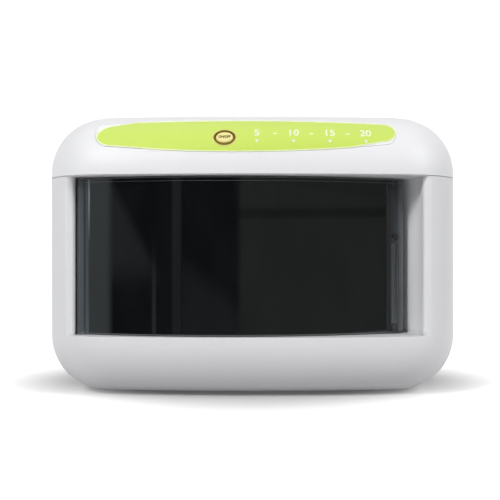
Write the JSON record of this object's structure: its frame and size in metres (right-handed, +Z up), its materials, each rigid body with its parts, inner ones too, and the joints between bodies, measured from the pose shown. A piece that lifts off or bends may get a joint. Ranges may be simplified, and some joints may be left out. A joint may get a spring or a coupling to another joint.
{
  "type": "uv sanitizer cabinet",
  "caption": "Bench-top ultraviolet sanitizer cabinet for phones with a smoked swing door, a sloped button panel and a lamp over a wire rack.",
  "frame": {"origin": "on the floor under the middle of the housing, level with the undersides of the feet", "axes": "+X to the right as seen from the front, +Y to the back, +Z up"},
  "size_m": [0.305, 0.2, 0.2065],
  "materials": {
    "white_plastic": "satin moulded",
    "smoked_pane": "polished, smoked and see-through",
    "label_lime": "gloss film",
    "button_lime": "gloss",
    "bezel_brown": "gloss",
    "light_lens": "clear lens",
    "rubber": "matt",
    "steel": "plain",
    "bright_aluminium": "polished sheet",
    "cap_aluminium": "satin",
    "lamp_glass": "clear quartz",
    "socket_plastic": "moulded",
    "chromed_wire": "bright",
    "board": "lacquered",
    "component": "moulded",
    "bush": "moulded",
    "magnet": "plated",
    "inlet_black": "moulded"
  },
  "bodies": {
    "housing": {"lower_shell": "white_plastic", "top_shell": "white_plastic", "base_plate": "white_plastic", "rear_cover": "white_plastic", "base_screws": "steel", "rear_screws": "steel", "foot_front_left": "rubber", "foot_front_right": "rubber", "foot_rear_left": "rubber", "foot_rear_right": "rubber", "chamber_liner": "bright_aluminium", "chamber_ceiling": "bright_aluminium", "lamp_reflector": "bright_aluminium", "lamp_tube": "lamp_glass", "lamp_caps": "cap_aluminium", "lamp_socket_left": "socket_plastic", "lamp_socket_right": "socket_plastic", "lamp_guard": "chromed_wire", "wire_rack": "chromed_wire", "supply_board": "board", "supply_parts": "component", "control_board": "board", "button_switch": "component", "label_plate": "label_lime", "button_bezel": "bezel_brown", "timer_lights": "light_lens", "hinge_bush_top": "bush", "hinge_bush_bottom": "bush", "catch_magnets": "magnet", "door_sensor": "component", "power_inlet": "inlet_black"},
    "door": {"door_pane": "smoked_pane", "door_pin_top": "steel", "door_pin_bottom": "steel", "door_strikers": "steel"},
    "button": {"power_button": "button_lime"}
  },
  "joints": [
    {"name": "door_hinge", "type": "hinge", "parent": "housing", "child": "door", "pos_m": [-0.1254, -0.07075, 0.1025], "axis": [0, 0, -1], "range_deg": [0, 80]},
    {"name": "button_press", "type": "slide", "parent": "housing", "child": "button", "axis": [0.0214, 0.8471, -0.531], "range_m": [0, 0.0015], "stiffness_N_per_m": 700, "springref_m": -0.002}
  ]
}
